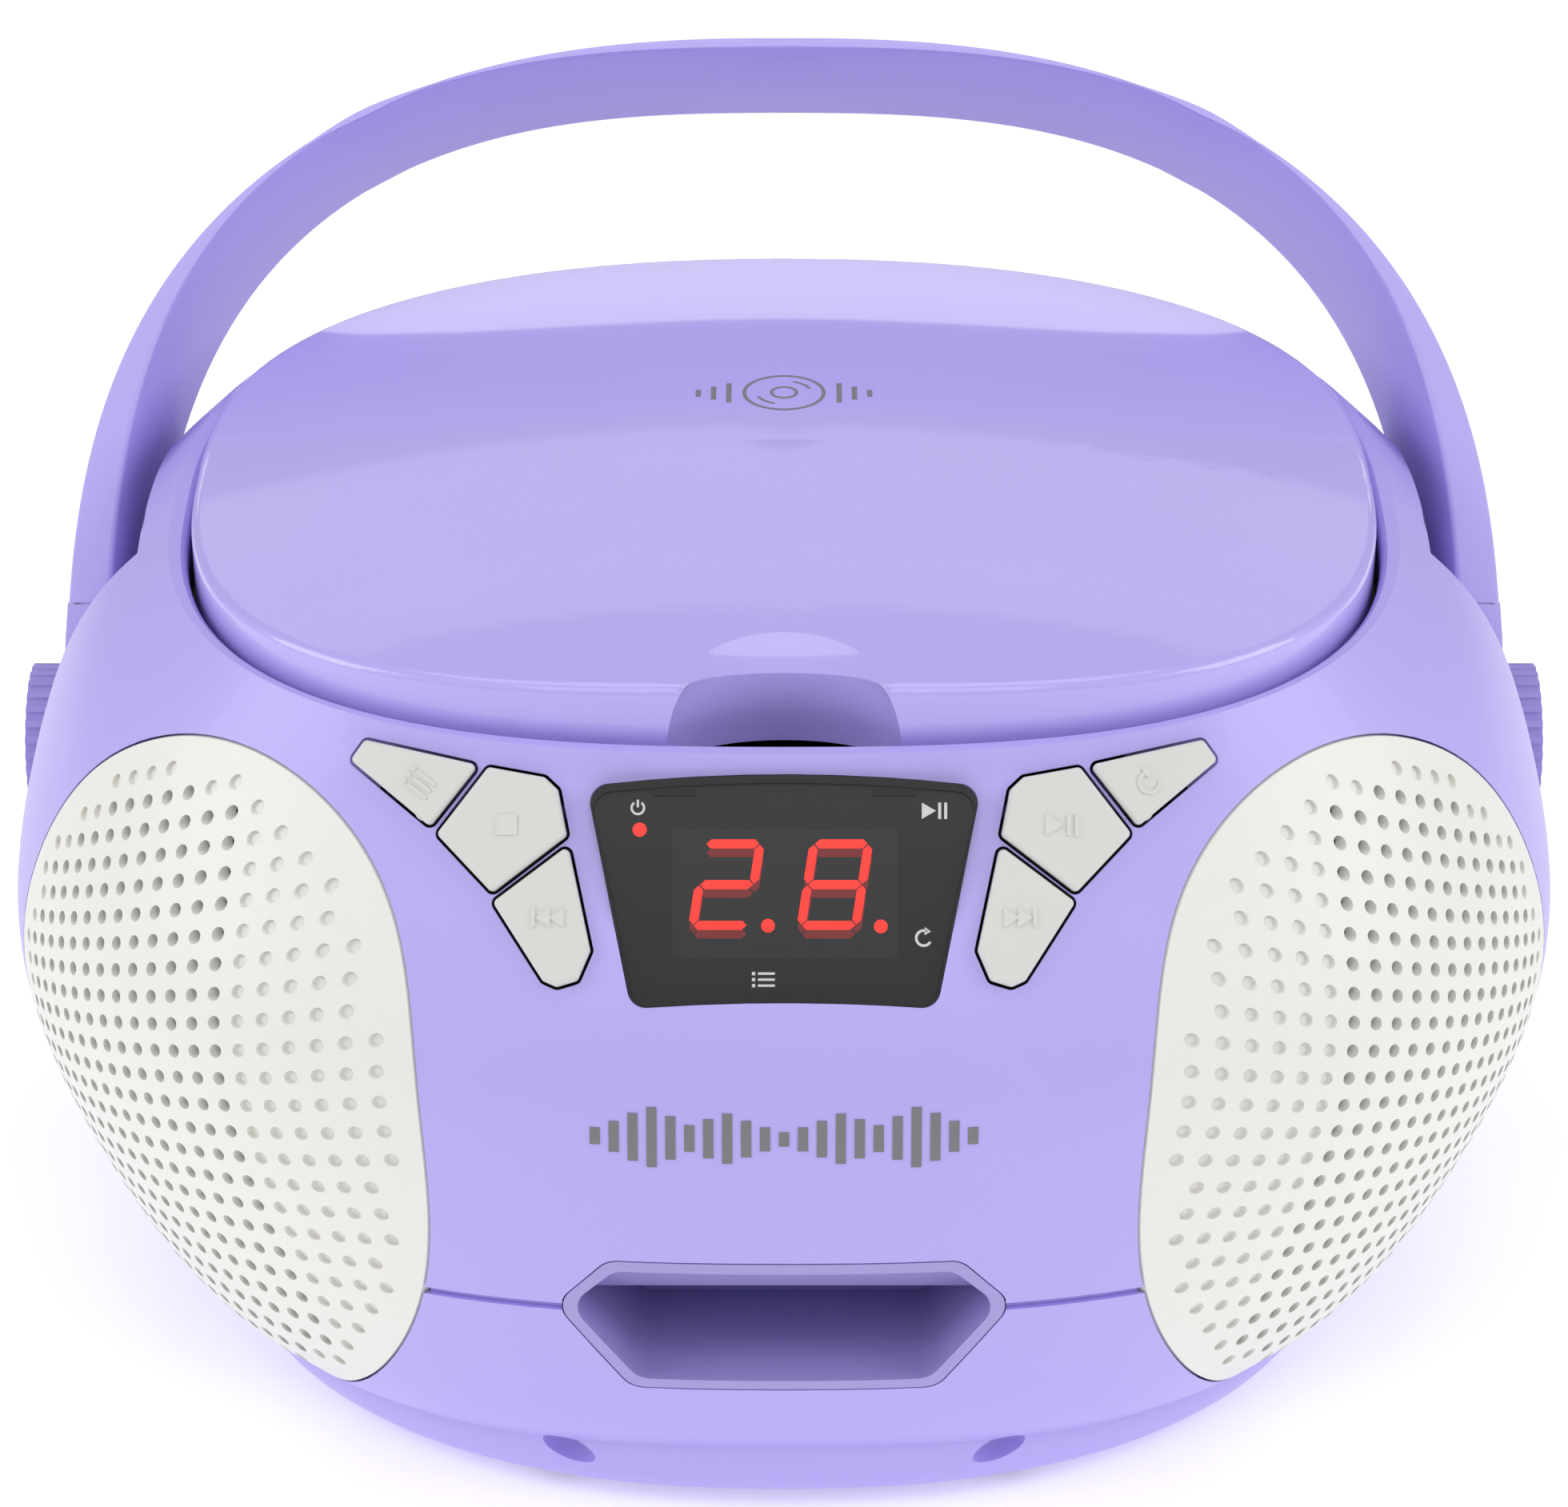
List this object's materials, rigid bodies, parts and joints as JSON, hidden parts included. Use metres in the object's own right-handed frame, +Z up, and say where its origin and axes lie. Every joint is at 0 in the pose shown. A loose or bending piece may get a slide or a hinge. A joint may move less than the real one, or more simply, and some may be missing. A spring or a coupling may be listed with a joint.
{
  "type": "portable cd player",
  "caption": "Portable disc player with a hinged lid, folding carry handle, twin speakers behind perforated grilles, digit display, push keys and side knobs.",
  "frame": {"origin": "on the floor under the middle of the cabinet", "axes": "+X to the right, -Y to the front with the display, +Z up"},
  "size_m": [0.237, 0.1894, 0.173],
  "materials": {
    "cabinet_plastic": "satin moulded",
    "grille_plastic": "satin moulded",
    "key_plastic": "satin moulded",
    "window_plastic": "polished",
    "display_red": "lit segments",
    "black_plastic": "moulded",
    "board_green": "solder mask",
    "steel": "zinc plated",
    "chrome": "polished",
    "brass": "plain",
    "rubber": "matt",
    "paper_cone": "pressed paper",
    "ferrite": "fired ceramic",
    "lens_glass": "polished"
  },
  "bodies": {
    "cabinet": {"aerial_rod": "ferrite", "aerial_rod_brackets": "black_plastic", "audio_jack": "black_plastic", "band_switch": "black_plastic", "battery_contacts": "steel", "cabinet_screws": "steel", "damper_grommets": "rubber", "disc_tray": "black_plastic", "display_module": "display_red", "display_window": "window_plastic", "front_board": "board_green", "function_switch": "black_plastic", "guide_rods": "chrome", "handle_pivot_pins": "steel", "key_switches": "black_plastic", "left_baffle": "grille_plastic", "left_grille": "grille_plastic", "left_speaker_cone": "paper_cone", "left_speaker_frame": "steel", "left_speaker_magnet": "steel", "lid_hinge_pins": "steel", "lower_cabinet": "cabinet_plastic", "main_board": "board_green", "mains_inlet": "black_plastic", "mains_inlet_pins": "brass", "mechanism_chassis": "black_plastic", "port_insert": "cabinet_plastic", "power_transformer": "steel", "right_baffle": "grille_plastic", "right_grille": "grille_plastic", "right_speaker_cone": "paper_cone", "right_speaker_frame": "steel", "right_speaker_magnet": "steel", "rubber_feet": "rubber", "sled_motor": "steel", "spindle_motor": "steel", "tuning_capacitor": "black_plastic", "upper_cabinet": "cabinet_plastic", "volume_control": "steel"},
    "lid": {"lid": "cabinet_plastic"},
    "handle": {"handle": "cabinet_plastic"},
    "turntable": {"turntable": "black_plastic", "spindle_shaft": "steel"},
    "pickup": {"pickup_sled": "black_plastic", "pickup_lens": "lens_glass"},
    "lead_screw": {"lead_screw": "steel"},
    "battery_door": {"battery_door": "cabinet_plastic"},
    "function_slider": {"function_slider": "black_plastic"},
    "band_slider": {"band_slider": "black_plastic"},
    "volume_knob": {"volume_knob": "cabinet_plastic", "volume_shaft": "steel"},
    "tuning_knob": {"tuning_knob": "cabinet_plastic", "tuning_shaft": "steel"},
    "next_key": {"next_key": "key_plastic"},
    "play_pause_key": {"play_pause_key": "key_plastic"},
    "previous_key": {"previous_key": "key_plastic"},
    "program_key": {"program_key": "key_plastic"},
    "repeat_key": {"repeat_key": "key_plastic"},
    "stop_key": {"stop_key": "key_plastic"}
  },
  "joints": [
    {"name": "lid_hinge", "type": "hinge", "parent": "cabinet", "child": "lid", "pos_m": [0, 0.0781, 0.12862], "axis": [1, 0, 0], "range_deg": [-44, 0]},
    {"name": "handle_fold", "type": "hinge", "parent": "cabinet", "child": "handle", "pos_m": [0, 0.01, 0.092], "axis": [1, 0, 0], "range_deg": [-45, 45]},
    {"name": "turntable_spin", "type": "hinge", "parent": "cabinet", "child": "turntable", "pos_m": [0, 0.00513, 0.11014], "axis": [0, -0.0958, 0.9954], "continuous": true},
    {"name": "pickup_travel", "type": "slide", "parent": "cabinet", "child": "pickup", "axis": [-1, 0, 0], "range_m": [0, 0.026]},
    {"name": "lead_screw_turn", "type": "hinge", "parent": "cabinet", "child": "lead_screw", "pos_m": [0, 0.02772, 0.10508], "axis": [-1, 0, 0], "range_deg": [-20, 3200]},
    {"name": "battery_door_slide", "type": "slide", "parent": "cabinet", "child": "battery_door", "axis": [0, 1, 0], "range_m": [0, 0.014]},
    {"name": "function_slide", "type": "slide", "parent": "cabinet", "child": "function_slider", "axis": [1, 0, 0], "range_m": [-0.004, 0.004]},
    {"name": "band_slide", "type": "slide", "parent": "cabinet", "child": "band_slider", "axis": [1, 0, 0], "range_m": [-0.004, 0.004]},
    {"name": "volume_turn", "type": "hinge", "parent": "cabinet", "child": "volume_knob", "pos_m": [-0.11, 0.03, 0.071], "axis": [-1, 0, 0], "range_deg": [-150, 150]},
    {"name": "tuning_turn", "type": "hinge", "parent": "cabinet", "child": "tuning_knob", "pos_m": [0.11, 0.03, 0.071], "axis": [1, 0, 0], "range_deg": [-150, 150]},
    {"name": "next_key_press", "type": "slide", "parent": "cabinet", "child": "next_key", "axis": [0, 0.887, -0.4617], "range_m": [0, 0.0012], "stiffness_N_per_m": 400},
    {"name": "play_pause_key_press", "type": "slide", "parent": "cabinet", "child": "play_pause_key", "axis": [0, 0.887, -0.4617], "range_m": [0, 0.0012], "stiffness_N_per_m": 400},
    {"name": "previous_key_press", "type": "slide", "parent": "cabinet", "child": "previous_key", "axis": [0, 0.887, -0.4617], "range_m": [0, 0.0012], "stiffness_N_per_m": 400},
    {"name": "program_key_press", "type": "slide", "parent": "cabinet", "child": "program_key", "axis": [0, 0.887, -0.4617], "range_m": [0, 0.0012], "stiffness_N_per_m": 400},
    {"name": "repeat_key_press", "type": "slide", "parent": "cabinet", "child": "repeat_key", "axis": [0, 0.887, -0.4617], "range_m": [0, 0.0012], "stiffness_N_per_m": 400},
    {"name": "stop_key_press", "type": "slide", "parent": "cabinet", "child": "stop_key", "axis": [0, 0.887, -0.4617], "range_m": [0, 0.0012], "stiffness_N_per_m": 400}
  ],
  "couplings": [
    {"joint": "lead_screw_turn", "follows": "pickup_travel", "rad_per_m": 2094.4}
  ]
}
